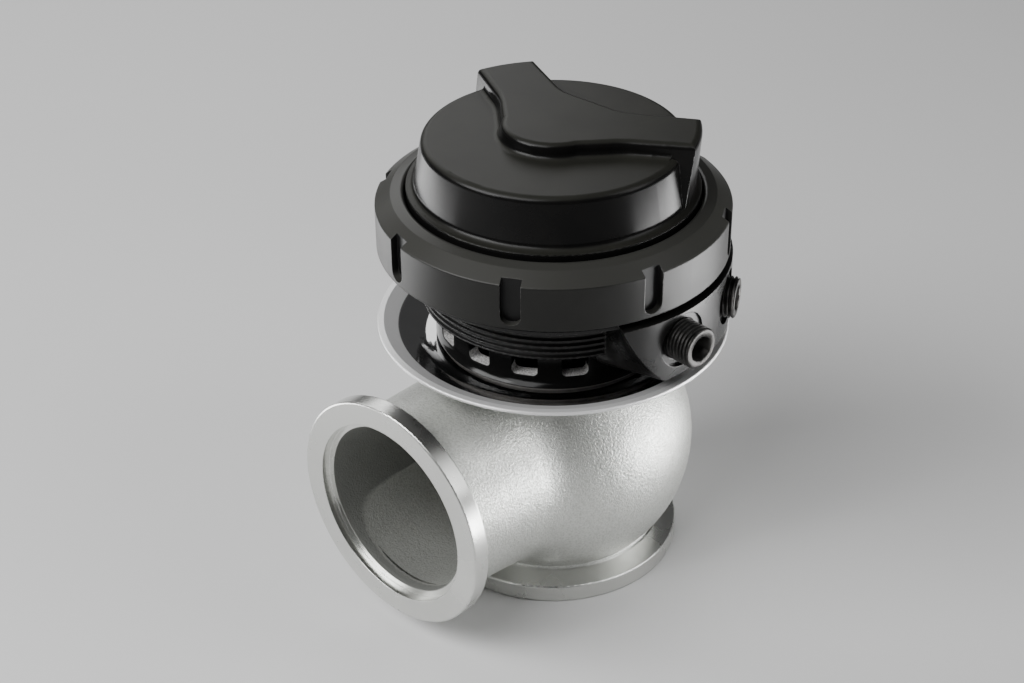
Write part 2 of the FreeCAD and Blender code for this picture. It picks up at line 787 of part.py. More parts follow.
def diaphragm():
    """Moulded diaphragm: clamped bead, rolling convolution and flat web."""
    hole = thread_radius + running_gap
    web_top = web_level + web_thickness
    roll_low = web_level - roll_depth
    inner_wall = plate_radius + wall_gap
    outer_wall = roll_radius - wall_gap
    bead_inner = spigot_radius - bead_width
    bead_outer = spigot_radius
    fold = roll_fullness * (outer_wall - inner_wall)
    inner_fold = fold - web_thickness
    return turned([
        (hole, web_level, 0), (inner_wall, web_level, edge_break), (inner_wall, roll_low, fold),
        (outer_wall, roll_low, fold), (outer_wall, bead_level, edge_break),
        (bead_outer, bead_level, edge_break), (bead_outer, spigot_level, edge_break),
        (bead_inner, spigot_level, 0), (bead_inner, spigot_level - bead_lip, 0),
        (outer_wall - web_thickness, spigot_level - bead_lip, wide_break),
        (outer_wall - web_thickness, roll_low + web_thickness, inner_fold),
        (inner_wall + web_thickness, roll_low + web_thickness, inner_fold),
        (inner_wall + web_thickness, web_top, wide_break), (hole, web_top, 0)])


def lower_plate():
    """Backing plate under the diaphragm, seated on the stem's shoulder."""
    waist = plate_seat + plate_relief
    edge = plate_radius - lower_plate_thickness
    return turned([
        (thread_radius + running_gap, plate_seat, 0), (plate_hub_radius, plate_seat, wide_break),
        (plate_hub_radius + plate_hub_slope, waist, wide_break), (edge, waist, wide_break),
        (plate_radius, waist + plate_relief, wide_break), (plate_radius, web_level, edge_break),
        (thread_radius + running_gap, web_level, 0)])


def upper_plate():
    """Piston cup over the diaphragm, with a raised ring that centres the springs."""
    bottom = web_level + web_thickness
    floor = bottom + upper_plate_floor
    top = bottom + upper_plate_height
    return turned([
        (thread_radius + running_gap, bottom, 0), (plate_radius, bottom, wide_break),
        (plate_radius, top, edge_break), (plate_radius - upper_plate_wall, top, edge_break),
        (plate_radius - upper_plate_wall, floor, wide_break), (guide_ring_outer, floor, 0),
        (guide_ring_outer, floor + guide_ring_height, edge_break),
        (guide_ring_inner, floor + guide_ring_height, edge_break), (guide_ring_inner, floor, 0),
        (thread_radius + running_gap, floor, 0)])


def plate_washer():
    """Flat washer under the stem nut."""
    return ring(thread_radius + running_gap, plate_washer_radius, spring_bottom, nut_level)


def stem_nut():
    """Locking nut: hexagon with a plain collar on top."""
    flats_top = nut_level + nut_height - nut_crown
    top = nut_level + nut_height
    corner = nut_width / math.sqrt(3)
    prism = hexagon(nut_width, nut_level, nut_height - nut_crown)
    chamfer = turned([
        (0, nut_level, 0), (nut_width / 2, nut_level, 0), (corner + edge_break, nut_level + wide_break, 0),
        (corner + edge_break, flats_top - wide_break, 0), (nut_width / 2, flats_top, 0),
        (0, flats_top, 0)])
    crown = turned([
        (0, nut_level + cut_over, 0), (nut_width / 2 - edge_break, nut_level + cut_over, 0),
        (nut_width / 2 - edge_break, top, edge_break), (0, top, 0)])
    nut = prism.common(chamfer).fuse(crown)
    hole = upright_rod(thread_radius + running_gap, nut_level - cut_over, top + cut_over)
    return one_solid(nut.cut(hole))


def helical_spring(mean_radius, wire_radius, turns):
    """Compression spring with ground ends between its two seats."""
    grind = wire_radius * 2 * spring_cut
    start = spring_bottom + wire_radius - grind
    rise = spring_top - spring_bottom - 2 * (wire_radius - grind)
    helix = Part.makeHelix(rise / turns, rise, mean_radius)
    helix.translate(Vector(0, 0, start))
    section = Part.Wire(Part.Circle(Vector(mean_radius, 0, start), Vector(0, 1, 0), wire_radius).toShape())
    coil = Part.Wire(helix.Edges).makePipeShell([section], True, True)
    room = ring(mean_radius - 2 * wire_radius, mean_radius + 2 * wire_radius, spring_bottom, spring_top)
    return coil.common(room).Solids[0]


def spring_seat():
    """Pressed ring that centres the springs' upper ends in the cap."""
    return turned([
        (spring_seat_hole, spring_top, edge_break), (spring_seat_radius, spring_top, wide_break),
        (spring_seat_radius, ceiling_level, 0), (spring_seat_hole, ceiling_level, 0)])


def wing_outline(spread):
    """Corners of the two arms, with every side moved outwards by spread."""
    reach = wing_end_radius
    back_lean, front_lean = math.radians(wing_arm_lean), math.radians(wing_front_lean)
    back = wing_back + spread
    corner = wing_back_corner + spread * math.tan(back_lean / 2)
    back_end = back + math.tan(back_lean) * (reach - corner)
    neck_u = wing_neck_depth - spread
    neck_v = wing_neck_side
    front_end = neck_u + math.tan(front_lean) * (reach - neck_v)
    nose_u = wing_nose_reach + spread
    nose_v = math.sqrt(wing_nose_radius ** 2 - wing_nose_reach ** 2)
    return [(back, -corner, wing_arm_round), (back, corner, wing_arm_round), (back_end, reach, 0),
            (front_end, reach, 0), (neck_u, neck_v, wing_neck_round), (-nose_u, nose_v, 0),
            (-nose_u, -nose_v, 0), (neck_u, -neck_v, wing_neck_round), (front_end, -reach, 0),
            (back_end, -reach, 0)]


def wing():
    """Raised boomerang on the cap: two arms and a round nose on a hollow blend round its foot."""
    top = cap_crown_height + wing_height
    height = top - cap_base_height
    spread = wing_draft * height
    arms = Part.makeLoft([outline(wing_outline(spread), level(cap_base_height)),
                          outline(wing_outline(0), level(top))], True, True)
    nose = Part.makeCone(wing_nose_radius + spread, wing_nose_radius, height,
                         Vector(0, 0, cap_base_height))
    tall = one_solid(arms.fuse(nose))
    foot_radius = wing_end_radius - wing_end_lean * height
    ends = Part.makeCone(foot_radius, wing_end_radius, height, Vector(0, 0, cap_base_height))
    plate = upright_rod(wing_end_radius, cap_base_height, cap_crown_height)
    footed = one_solid(tall.fuse(plate))
    footed = footed.makeFillet(wing_foot_round, [edge for edge in footed.Edges if at_wing_foot(edge)])
    flat = cap_crown_radius - cap_crown_round
    footed = one_solid(footed.common(upright_rod(flat, cap_base_height, top)))
    return around(one_solid(tall.common(ends).fuse(footed)), wing_direction)


def at_wing_foot(edge):
    """True for an edge where the wing's walls stand on the crown."""
    box = edge.BoundBox
    middle = edge.valueAt((edge.FirstParameter + edge.LastParameter) / 2)
    level_edge = box.ZLength < 0.01 and abs(box.ZMin - cap_crown_height) < 0.01
    return level_edge and math.hypot(middle.x, middle.y) < wing_end_radius - 0.01


def cap():
    """Spring cap: spigot, flange, tapered wall and the raised wing."""
    crown = turned([
        (0, spigot_level, 0), (spigot_radius, spigot_level, edge_break),
        (spigot_radius, cap_flange_level, 0), (cap_flange_radius, cap_flange_level, edge_break),
        (cap_flange_radius, cap_shoulder, 0), (cap_base_radius, cap_shoulder, 0),
        (cap_base_radius, cap_base_height, edge_break),
        (cap_wall_radius, cap_base_height, cap_foot_round),
        (cap_crown_radius, cap_crown_height, cap_crown_round), (0, cap_crown_height, 0)])
    shape = one_solid(crown.fuse(wing()))
    top = cap_crown_height + wing_height
    rounded = [edge for edge in shape.Edges if edge.BoundBox.ZMin > top - 0.01]
    shape = shape.makeFillet(wing_edge_round, rounded)
    cavity_radius = cap_wall_radius - cap_wall
    cavity = turned([
        (0, spigot_level - cut_over, 0), (cavity_radius, spigot_level - cut_over, 0),
        (cavity_radius, spigot_level + cap_cavity_bend, 2 * cap_cavity_round),
        (cap_crown_radius - cap_wall, ceiling_level, cap_cavity_round), (0, ceiling_level, 0)])
    middle = spigot_level + o_ring_rise
    half = o_ring_radius + o_ring_side_gap
    groove = ring(spigot_radius - o_ring_groove, spigot_radius + cut_over, middle - half,
                  middle + half)
    spot = polar(pin_circle_radius, locating_pin_angle)
    pin_hole = upright_rod(locating_pin_radius + pin_gap, cap_flange_level - cut_over,
                           cap_flange_level + locating_pin_stand + wide_break, spot.x, spot.y)
    return one_solid(shape.cut([cavity, groove, pin_hole]))


def cap_o_ring():
    """Seal ring in the cap's spigot."""
    middle = spigot_level + o_ring_rise
    centre = cup_bore_radius - press_gap - o_ring_radius
    section = Part.Wire(Part.Circle(Vector(centre, 0, middle), Vector(0, 1, 0), o_ring_radius).toShape())
    return Part.Face(section).revolve(Vector(0, 0, 0), Vector(0, 0, 1), 360)


def slip_ring():
    """Low-friction ring between the cap's shoulder and the collar's lip."""
    return ring(collar_lip_radius + wide_break, cap_flange_radius, cap_shoulder, slip_top)


def locking_collar():
    """Screwed collar with eight wrench slots, a sloping top and an inward lip."""
    body = turned([
        (collar_bore_radius, collar_bottom, edge_break), (collar_radius, collar_bottom, edge_break),
        (collar_radius, slip_top - collar_shoulder_drop, wide_break),
        (collar_radius - collar_slope_run, slip_top + collar_slope_rise, edge_break),
        (collar_lip_radius, collar_lip_height, collar_lip_round), (collar_lip_radius, slip_top, 0),
        (collar_bore_radius, slip_top, 0)])
    half = slot_width / 2
    low = collar_bottom + slot_floor
    end = collar_lip_height + cut_over
    cutter = Part.Face(outline([
        (-half, low, slot_end_round), (half, low, slot_end_round), (half, end, 0), (-half, end, 0)],
        facing_x(collar_radius - slot_depth))).extrude(Vector(2 * slot_depth, 0, 0))
    slots = [around(cutter, slot_angle + 360 / slot_count * i) for i in range(slot_count)]
    return one_solid(body.cut(slots))


pieces = {
    "valve_body": valve_body(),
    "valve_seat": valve_seat(),
    "valve_guide": valve_guide(),
    "stem_scraper": stem_scraper(),
    "heat_shield": heat_shield(),
    "base_gasket": base_gasket(),
    "actuator_housing": actuator_housing(),
    "stem_seal": stem_seal(),
    "seal_retainer": seal_retainer(),
    "housing_screws": housing_screws(),
    "screw_washers": screw_washers(),
    "locating_pin": locating_pin(),
    "diaphragm": diaphragm(),
    "valve": valve(),
    "lower_plate": lower_plate(),
    "upper_plate": upper_plate(),
    "plate_washer": plate_washer(),
    "stem_nut": stem_nut(),
    "cap": cap(),
    "cap_o_ring": cap_o_ring(),
    "slip_ring": slip_ring(),
    "spring_seat": spring_seat(),
    "locking_collar": locking_collar(),
}
for name, (angle, reach) in zip(("front_port_plug", "side_port_plug"), port_places()):
    pieces[name] = port_plug(angle, reach)
pieces["outer_spring"] = helical_spring(outer_spring_radius, outer_wire, outer_turns)
pieces["middle_spring"] = helical_spring(middle_spring_radius, middle_wire, middle_turns)
pieces["inner_spring"] = helical_spring(inner_spring_radius, inner_wire, inner_turns)

os.makedirs("parts", exist_ok=True)
for name, shape in pieces.items():
    shape.exportStep("parts/" + name + ".step")
    print(name, "solids", len(shape.Solids), "valid", shape.isValid(), "volume", round(shape.Volume, 1))
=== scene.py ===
import bmesh
import bpy
import math
from mathutils import Matrix, Vector


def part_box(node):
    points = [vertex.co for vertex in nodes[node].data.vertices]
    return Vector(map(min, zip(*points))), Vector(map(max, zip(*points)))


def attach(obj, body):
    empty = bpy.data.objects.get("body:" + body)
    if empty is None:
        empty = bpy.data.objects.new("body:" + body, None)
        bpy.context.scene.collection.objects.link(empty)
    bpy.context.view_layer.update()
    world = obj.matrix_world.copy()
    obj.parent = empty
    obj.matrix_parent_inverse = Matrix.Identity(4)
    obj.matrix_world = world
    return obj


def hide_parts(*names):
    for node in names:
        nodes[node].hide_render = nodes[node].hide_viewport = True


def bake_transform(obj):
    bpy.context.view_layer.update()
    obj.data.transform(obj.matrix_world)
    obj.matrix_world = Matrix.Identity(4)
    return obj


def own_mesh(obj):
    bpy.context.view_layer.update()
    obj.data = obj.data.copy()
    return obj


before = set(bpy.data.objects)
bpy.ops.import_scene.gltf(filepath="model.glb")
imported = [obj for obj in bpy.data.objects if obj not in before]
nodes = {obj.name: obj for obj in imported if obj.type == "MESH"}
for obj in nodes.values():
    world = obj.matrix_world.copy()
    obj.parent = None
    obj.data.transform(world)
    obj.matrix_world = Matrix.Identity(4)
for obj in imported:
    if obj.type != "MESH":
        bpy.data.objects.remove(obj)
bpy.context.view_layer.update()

# Lengths are in metres
mm = 0.001

# Sizes read from the frame
body_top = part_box("valve_body")[1].z
dish_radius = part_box("heat_shield")[1].x
collar_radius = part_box("locking_collar")[1].x

# Camera, fitted to the round edges of the real part
photo_width = 1024
sensor_width = 36.0
focal_pixels = 1957.6
camera_place = Vector((268.8, -293.0, 311.0)) * mm
camera_azimuth = math.radians(43.95)
camera_elevation = math.radians(32.76)
camera_roll = math.radians(-0.50)

# Machined zones of the casting, and its passages
inlet_flange_top = 6.2 * mm
outlet_face = 55.75 * mm
outlet_flange_depth = 5.8 * mm
outlet_height = 34.15 * mm
outlet_bore_radius = 21.1 * mm
bore_start = 20.0 * mm
bore_full = 24.0 * mm
chamber_height = 29.5 * mm
chamber_radius = 30.3 * mm

# Threads
plug_thread_radius = 4.9 * mm
plug_thread_pitch = 1.0 * mm
plug_thread_depth = 0.55 * mm
cup_radius = 37.2 * mm
cup_thread_low = 82.9 * mm
cup_thread_high = 89.4 * mm
cup_thread_pitch = 1.5 * mm
cup_thread_height = 0.22 * mm
cup_tooth_flank = 0.3 * mm
cup_tooth_width = 0.8 * mm

# Diaphragm
stem_hole_radius = 3.05 * mm
plate_edge_radius = 25.6 * mm
rolling_wall_radius = 29.6 * mm
bead_step_radius = 31.2 * mm
web_low = 83.1 * mm
bead_low = 83.2 * mm
rubber_thickness = 1.0 * mm
bead_lip = 0.5 * mm
fold_share = 0.48
roll_sectors = 24
sector_steps = 4

# Springs: middle radius of the coil, radius of the wire, turns between the closed ends
spring_sizes = {
    "outer_spring": (21.5 * mm, 1.3 * mm, 2.5),
    "middle_spring": (17.6 * mm, 1.1 * mm, 3.0),
    "inner_spring": (13.2 * mm, 1.0 * mm, 3.5),
}
closed_turns = 0.75
closed_rise_share = 0.06
ground_share = 0.35
coil_steps = 40

# Bare sills of the windows in the actuator's cage
cage_radius = 28.0 * mm
cage_inner_radius = 24.5 * mm
window_sill = 63.5 * mm
bare_top = 65.0 * mm

# Where the dish's satin rim and the collar's painted slot shade begin and are full, in from the outer edge
rim_full = 4.7 * mm
rim_start = 5.2 * mm
slot_shade_start = 0.7 * mm
slot_shade_full = 1.0 * mm


# Node helpers

def give(tree, socket, value):
    """Links a socket to another one, or sets it to a value."""
    if isinstance(value, bpy.types.NodeSocket):
        tree.links.new(value, socket)
    else:
        socket.default_value = value


def add(tree, kind, inputs=None, **properties):
    """New node with its properties and inputs set."""
    node = tree.nodes.new("ShaderNode" + kind)
    for key, value in properties.items():
        setattr(node, key, value)
    for key, value in (inputs or {}).items():
        give(tree, node.inputs[key], value)
    return node


def sums(tree, operation, a, b=0.0, c=0.0):
    """Result of one Math node."""
    return add(tree, "Math", {0: a, 1: b, 2: c}, operation=operation).outputs[0]


def steps(tree, value, low, high):
    """Smooth change from 0 to 1 while value goes from low to high."""
    return add(tree, "MapRange", {"Value": value, "From Min": low, "From Max": high},
               interpolation_type="SMOOTHSTEP").outputs[0]


def between(tree, factor, a, b):
    """Number between a and b."""
    return add(tree, "Mix", {0: factor, 2: a, 3: b}).outputs[0]


def blends(tree, factor, a, b):
    """Colour between a and b."""
    return add(tree, "Mix", {0: factor, 6: a, 7: b}, data_type="RGBA").outputs[2]


def z_of(tree, vector):
    """Z of a vector."""
    return add(tree, "SeparateXYZ", {0: vector}).outputs["Z"]


def grey(value, warmth=0.0):
    """Opaque colour of one brightness, a little warmer than neutral."""
    return (value * (1 + warmth), value, value * (1 - warmth), 1.0)


def new_group(name, inputs, outputs):
    """Empty shader group with its sockets, and its two end nodes."""
    group = bpy.data.node_groups.new(name, "ShaderNodeTree")
    for label, kind, value in inputs:
        socket = group.interface.new_socket(label, in_out="INPUT", socket_type="NodeSocket" + kind)
        if value is not None:
            socket.default_value = value
    for label, kind in outputs:
        group.interface.new_socket(label, in_out="OUTPUT", socket_type="NodeSocket" + kind)
    return group, group.nodes.new("NodeGroupInput").outputs, group.nodes.new("NodeGroupOutput").inputs


def place_group(tree, group, inputs):
    """A shared group placed in a material with its own values."""
    node = tree.nodes.new("ShaderNodeGroup")
    node.node_tree = group
    for key, value in inputs.items():
        give(tree, node.inputs[key], value)
    return node.outputs


# Shared effects

def speckle_group():
    """Fine grain: height between 0 and 1 and a broad cloud for stains and roughness."""
    group, given, result = new_group(
        "speckle", [("Vector", "Vector", None), ("Grain", "Float", 1500.0), ("Cloud", "Float", 60.0)],
        [("Height", "Float"), ("Cloud", "Float")])
    fine = add(group, "TexNoise", {"Vector": given["Vector"], "Scale": given["Grain"], "Detail": 3.0})
    broad = add(group, "TexNoise", {"Vector": given["Vector"], "Scale": given["Cloud"], "Detail": 4.0,
                                    "Roughness": 0.6})
    group.links.new(fine.outputs["Fac"], result["Height"])
    group.links.new(steps(group, broad.outputs["Fac"], 0.3, 0.7), result["Cloud"])
    return group


def cast_group():
    """Sand-cast skin: soft worm-like grains on broad low lumps."""
    group, given, result = new_group(
        "cast_skin", [("Vector", "Vector", None), ("Grain", "Float", 1500.0)],
        [("Height", "Float"), ("Shade", "Float")])
    grains = add(group, "TexNoise", {"Vector": given["Vector"], "Scale": given["Grain"], "Detail": 2.5,
                                     "Roughness": 0.55, "Distortion": 0.6})
    lumps = add(group, "TexNoise", {"Vector": given["Vector"], "Scale": 240.0, "Detail": 2.0})
    height = sums(group, "MULTIPLY_ADD", lumps.outputs["Fac"], 0.9, grains.outputs["Fac"])
    group.links.new(height, result["Height"])
    group.links.new(steps(group, grains.outputs["Fac"], 0.30, 0.62), result["Shade"])
    return group


def turning_group():
    """Fine circular tool lines, from the distance to an axis and the place along it."""
    group, given, result = new_group(
        "turning_lines", [("Radius", "Float", 0.0), ("Along", "Float", 0.0), ("Pitch", "Float", 0.25 * mm)],
        [("Height", "Float")])
    step = sums(group, "ADD", given["Radius"], given["Along"])
    count = sums(group, "DIVIDE", step, given["Pitch"])
    lines = add(group, "TexNoise", {"W": count, "Scale": 1.0, "Detail": 2.0}, noise_dimensions="1D")
    group.links.new(lines.outputs["Fac"], result["Height"])
    return group


def wear_and_highlight_group():
    """Mask of outer edges rubbed brighter, which on the anodised parts also paints edge highlights, and the
    rounded normal they are found with.
    """
    group, given, result = new_group(
        "edge_wear_and_highlight", [("Vector", "Vector", None), ("Width", "Float", 0.3 * mm), ("Amount", "Float", 1.0)],
        [("Mask", "Float"), ("Normal", "Vector")])
    rounded = add(group, "Bevel", {"Radius": given["Width"]}, samples=6)
    flat = add(group, "NewGeometry")
    turn = add(group, "VectorMath", {0: rounded.outputs[0], 1: flat.outputs["Normal"]},
               operation="DOT_PRODUCT")
    broken = add(group, "TexNoise", {"Vector": given["Vector"], "Scale": 900.0, "Detail": 3.0})
    edge = steps(group, turn.outputs["Value"], 0.99, 0.90)
    chips = steps(group, broken.outputs["Fac"], 0.42, 0.62)
    mask = sums(group, "MULTIPLY", edge, chips)
    group.links.new(sums(group, "MULTIPLY", mask, given["Amount"]), result["Mask"])
    group.links.new(rounded.outputs[0], result["Normal"])
    return group


speckle = speckle_group()
cast_skin = cast_group()
turning_lines = turning_group()
edge_wear_and_highlight = wear_and_highlight_group()


# Materials

def new_material(name, **sockets):
    """Material with one Principled shader, its fixed values set on the shader's own sockets."""
    material = bpy.data.materials.new(name)
    material.use_nodes = True
    tree = material.node_tree
    tree.nodes.clear()
    shader = tree.nodes.new("ShaderNodeBsdfPrincipled")
    output = tree.nodes.new("ShaderNodeOutputMaterial")
    tree.links.new(shader.outputs[0], output.inputs["Surface"])
    for key, value in sockets.items():
        shader.inputs[key.replace("_", " ")].default_value = value
    place = add(tree, "TexCoord").outputs["Object"]
    return material, tree, shader, place


def feed(tree, shader, **sockets):
    """Links sockets of the shader."""
    for key, socket in sockets.items():
        tree.links.new(socket, shader.inputs[key.replace("_", " ")])


def bumped(tree, height, strength, distance, normal):
    """Normal bent by a height."""
    return add(tree, "Bump", {"Height": height, "Strength": strength, "Distance": distance,
                              "Normal": normal}).outputs[0]


def from_axis(tree, place, centre=(0.0, 0.0, 0.0), mask=(1.0, 1.0, 0.0)):
    """Distance from an axis through centre; mask is 0 along the axis."""
    moved = add(tree, "VectorMath", {0: place, 1: centre}, operation="SUBTRACT").outputs[0]
    across = add(tree, "VectorMath", {0: moved, 1: mask}, operation="MULTIPLY").outputs[0]
    return add(tree, "VectorMath", {0: across}, operation="LENGTH").outputs["Value"]


def cast_stainless():
    """Sand-cast stainless whose flanges, registers and top are machined, with painted shade darkening the
    outlet bore.
    """
    material, tree, shader, place = new_material("cast_stainless")
    parts = add(tree, "SeparateXYZ", {0: place}).outputs
    to_outlet = from_axis(tree, place, (0.0, 0.0, outlet_height), (1.0, 0.0, 1.0))
    to_valve = from_axis(tree, place)
    towards_outlet = sums(tree, "MULTIPLY", parts["Y"], -1.0)
    outlet_zone = steps(tree, towards_outlet, outlet_face - outlet_flange_depth - 0.3 * mm,
                        outlet_face - outlet_flange_depth)
    outside_bore = steps(tree, to_outlet, outlet_bore_radius, outlet_bore_radius + 0.1 * mm)
    outlet_zone = sums(tree, "MULTIPLY", outlet_zone, outside_bore)
    inlet_zone = steps(tree, parts["Z"], inlet_flange_top + 0.1 * mm, inlet_flange_top - 0.1 * mm)
    top_zone = steps(tree, parts["Z"], body_top - 0.3 * mm, body_top - 0.1 * mm)
    machined = sums(tree, "MAXIMUM", sums(tree, "MAXIMUM", inlet_zone, top_zone), outlet_zone)
    skin = place_group(tree, cast_skin, {"Vector": place, "Grain": 2000.0})
    outlet_lines = place_group(tree, turning_lines, {"Radius": to_outlet, "Along": parts["Y"]})
    inlet_lines = place_group(tree, turning_lines, {"Radius": to_valve, "Along": parts["Z"]})
    lines = between(tree, outlet_zone, inlet_lines["Height"], outlet_lines["Height"])
    marks = place_group(tree, speckle, {"Vector": place, "Grain": 900.0, "Cloud": 45.0})
    cast_colour = blends(tree, skin["Shade"], (0.50, 0.51, 0.48, 1.0), (0.66, 0.67, 0.64, 1.0))
    stain = sums(tree, "MULTIPLY", marks["Cloud"], 0.2)
    cast_colour = blends(tree, stain, cast_colour, (0.52, 0.53, 0.5, 1.0))
    cut_colour = blends(tree, marks["Cloud"], (0.74, 0.745, 0.72, 1.0), (0.66, 0.665, 0.64, 1.0))
    inside_bore = steps(tree, to_outlet, outlet_bore_radius + 0.1 * mm, outlet_bore_radius)
    in_bore = sums(tree, "MULTIPLY", inside_bore, steps(tree, towards_outlet, bore_start, bore_full))
    to_middle = from_axis(tree, place, (0.0, 0.0, chamber_height), (1.0, 1.0, 1.0))
    in_chamber = steps(tree, to_middle, chamber_radius + 0.8 * mm, chamber_radius + 0.3 * mm)
    inner = sums(tree, "MAXIMUM", in_bore, in_chamber)
    cast_rough = between(tree, skin["Shade"], 0.46, 0.34)
    cast_rough = between(tree, inner, cast_rough, 0.66)
    cast_colour = blends(tree, in_chamber, cast_colour, (0.56, 0.565, 0.54, 1.0))
    # painted shade: the casting inside the outlet bore is darkened where shade falls in it
    cast_colour = blends(tree, in_bore, cast_colour, (0.25, 0.255, 0.24, 1.0))
    frosted = sums(tree, "MULTIPLY_ADD", in_chamber, -0.35, 0.8)
    metallic = sums(tree, "MAXIMUM", machined, frosted)
    cut_rough = between(tree, marks["Cloud"], 0.20, 0.32)
    rough = between(tree, machined, cast_rough, cut_rough)
    wear = place_group(tree, edge_wear_and_highlight, {"Vector": place, "Width": 0.35 * mm})
    cast_normal = bumped(tree, skin["Height"], 1.0, 0.15 * mm, wear["Normal"])
    cut_normal = bumped(tree, lines, 0.25, 0.01 * mm, wear["Normal"])
    normal = add(tree, "Mix", {0: machined, 4: cast_normal, 5: cut_normal}, data_type="VECTOR").outputs[1]
    feed(tree, shader, Base_Color=blends(tree, machined, cast_colour, cut_colour), Roughness=rough,
         Metallic=metallic, Normal=normal)
    return material


def turned_metal(name, colour, worn_colour, rough):
    """Metal turned on a lathe about the valve axis."""
    material, tree, shader, place = new_material(name, Metallic=1.0)
    height = z_of(tree, place)
    lines = place_group(tree, turning_lines, {"Radius": from_axis(tree, place), "Along": height})
    marks = place_group(tree, speckle, {"Vector": place, "Grain": 1200.0, "Cloud": 80.0})
    wear = place_group(tree, edge_wear_and_highlight, {"Vector": place, "Width": 0.25 * mm, "Amount": 0.8})
    shade = sums(tree, "MULTIPLY", marks["Cloud"], 0.6)
    base = blends(tree, shade, colour, tuple(0.75 * c for c in colour[:3]) + (1.0,))
    roughness = between(tree, marks["Cloud"], rough, rough + 0.14)
    feed(tree, shader, Base_Color=blends(tree, wear["Mask"], base, worn_colour), Roughness=roughness,
         Normal=bumped(tree, lines["Height"], 0.3, 0.01 * mm, wear["Normal"]))
    return material


def polished_stainless():
    """Mirror polished dish with a satin rim: faint circular lines and soft waves in the sheet."""
    material, tree, shader, place = new_material("polished_stainless")
    height = z_of(tree, place)
    radius = from_axis(tree, place)
    lines = place_group(tree, turning_lines, {"Radius": radius, "Along": height, "Pitch": 0.2 * mm})
    marks = place_group(tree, speckle, {"Vector": place, "Grain": 700.0, "Cloud": 38.0})
    rim = steps(tree, radius, dish_radius - rim_start, dish_radius - rim_full)
    rough = between(tree, marks["Cloud"], 0.05, 0.09)
    rough = between(tree, rim, rough, 0.42)
    wear = place_group(tree, edge_wear_and_highlight, {"Vector": place, "Width": 0.2 * mm})
    waves = bumped(tree, marks["Cloud"], 0.2, 0.25 * mm, wear["Normal"])
    colour = blends(tree, rim, blends(tree, marks["Cloud"], grey(0.52), grey(0.47)), grey(0.72))
    feed(tree, shader, Base_Color=colour, Metallic=sums(tree, "MULTIPLY_ADD", rim, -0.45, 1.0),
         Roughness=rough, Normal=bumped(tree, lines["Height"], 0.12, 0.005 * mm, waves))
    return material


def anodised_colour(tree, place, wear, dark, light):
    """Colour of black anodising: fine variation, and bare metal where edges are rubbed, partly real wear and
    partly painted edge highlights.
    """
    marks = place_group(tree, speckle, {"Vector": place, "Grain": 2600.0, "Cloud": 70.0})
    base = blends(tree, marks["Cloud"], dark, light)
    # edges lightened towards bare metal: partly rubbed wear, partly painted edge highlights
    worn = sums(tree, "MULTIPLY", wear["Mask"], 0.20)
    return blends(tree, worn, base, grey(0.35, 0.02)), marks


def anodised_normal(tree, place, marks, wear, grain, line):
    """Normal of anodised metal: rounded edges, fine grain, and turning lines round the valve axis."""
    lines = place_group(tree, turning_lines, {"Radius": from_axis(tree, place),
                                              "Along": z_of(tree, place)})
    skin = bumped(tree, marks["Height"], grain, 0.02 * mm, wear["Normal"])
    return bumped(tree, lines["Height"], line, 0.008 * mm, skin)


def cap_anodised():
    """Black anodised cap: polished walls and satin top faces, with fine turning lines; upward faces are
    painted lighter, partly for the satin finish and partly as painted light from above.
    """
    material, tree, shader, place = new_material("cap_anodised", Specular_IOR_Level=0.14)
    facing = z_of(tree, add(tree, "NewGeometry").outputs["Normal"])
    upward = steps(tree, facing, 0.45, 0.9)
    wear = place_group(tree, edge_wear_and_highlight, {"Vector": place, "Width": 0.3 * mm})
    colour, marks = anodised_colour(tree, place, wear, grey(0.003), grey(0.005, 0.05))
    top_colour = blends(tree, marks["Cloud"], (0.014, 0.014, 0.0118, 1.0), (0.018, 0.018, 0.0152, 1.0))
    # upward faces painted lighter olive: partly a satin finish, partly painted light falling from above
    colour = blends(tree, upward, colour, top_colour)
    wall_rough = between(tree, marks["Cloud"], 0.19, 0.24)
    rough = between(tree, upward, wall_rough, 0.40)
    feed(tree, shader, Base_Color=colour, Roughness=rough,
         Normal=anodised_normal(tree, place, marks, wear, 0.08, 0.10))
    return material


def collar_anodised():
    """Satin black anodised collar with fine turning lines, painted shade in its slots, and upward faces
    painted lighter as a satin finish plus painted light from above.
    """
    material, tree, shader, place = new_material("collar_anodised", Specular_IOR_Level=0.21)
    wear = place_group(tree, edge_wear_and_highlight, {"Vector": place, "Width": 0.3 * mm})
    colour, marks = anodised_colour(tree, place, wear, (0.008, 0.008, 0.0072, 1.0),
                                    (0.011, 0.011, 0.010, 1.0))
    facing = z_of(tree, add(tree, "NewGeometry").outputs["Normal"])
    upward = steps(tree, facing, 0.3, 0.8)
    radius = from_axis(tree, place)
    # painted shade: slot floors and other faces set back from the outer wall, not facing up, are darkened
    slot_shade = steps(tree, radius, collar_radius - slot_shade_start, collar_radius - slot_shade_full)
    slot_shade = sums(tree, "MULTIPLY", slot_shade, steps(tree, facing, 0.3, 0.0))
    colour = blends(tree, slot_shade, colour, grey(0.004))
    # upward faces painted lighter: partly a satin finish, partly painted light falling from above
    colour = blends(tree, upward, colour, (0.032, 0.032, 0.029, 1.0))
    rough = between(tree, marks["Cloud"], 0.40, 0.46)
    rough = between(tree, upward, rough, 0.34)
    feed(tree, shader, Base_Color=colour, Roughness=rough,
         Normal=anodised_normal(tree, place, marks, wear, 0.10, 0.12))
    return material


